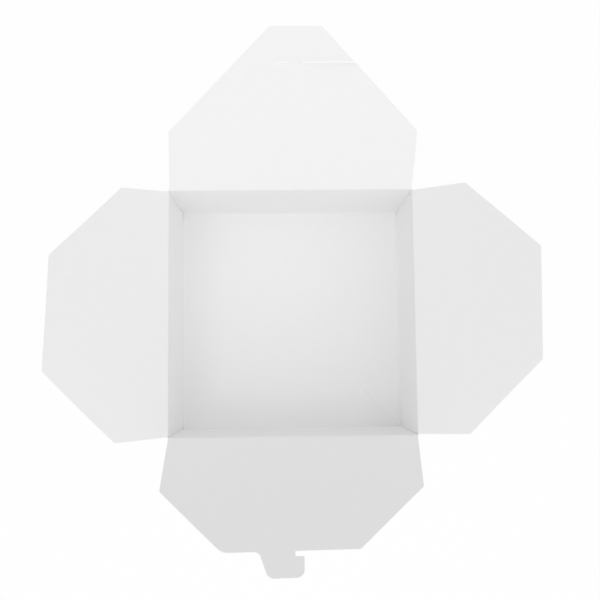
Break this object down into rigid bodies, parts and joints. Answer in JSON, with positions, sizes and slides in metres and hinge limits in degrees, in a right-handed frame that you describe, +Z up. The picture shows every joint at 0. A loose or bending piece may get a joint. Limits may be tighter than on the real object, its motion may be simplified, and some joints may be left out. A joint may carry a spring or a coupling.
{
  "type": "folded paperboard takeaway box with four closing flaps",
  "caption": "Square folded paperboard takeaway box with folded-in corners and four hinged closing flaps, one with a hooked tab and one with a slit.",
  "frame": {"origin": "centre of the box's underside, on the surface it stands on", "axes": "+Z up, -Y towards the front wall, whose flap has the hooked tab, +X to the right seen from the front"},
  "size_m": [0.2574, 0.2812, 0.1223],
  "materials": {
    "coated_board": "satin coated white paperboard"
  },
  "bodies": {
    "tray": {"tray": "coated_board"},
    "left_flap": {"left_flap": "coated_board"},
    "right_flap": {"right_flap": "coated_board"},
    "back_flap": {"back_flap": "coated_board"},
    "front_flap": {"front_flap": "coated_board"}
  },
  "joints": [
    {"name": "left_fold", "type": "hinge", "parent": "tray", "child": "left_flap", "pos_m": [-0.06978, 0, 0.06477], "axis": [0, 1, 0], "range_deg": [-100, 145]},
    {"name": "right_fold", "type": "hinge", "parent": "tray", "child": "right_flap", "pos_m": [0.06978, 0, 0.06477], "axis": [0, -1, 0], "range_deg": [-93, 152]},
    {"name": "back_fold", "type": "hinge", "parent": "tray", "child": "back_flap", "pos_m": [0, 0.06978, 0.06552], "axis": [1, 0, 0], "range_deg": [-70, 155]},
    {"name": "front_fold", "type": "hinge", "parent": "tray", "child": "front_flap", "pos_m": [0, -0.06978, 0.06628], "axis": [-1, 0, 0], "range_deg": [-92, 138]}
  ]
}
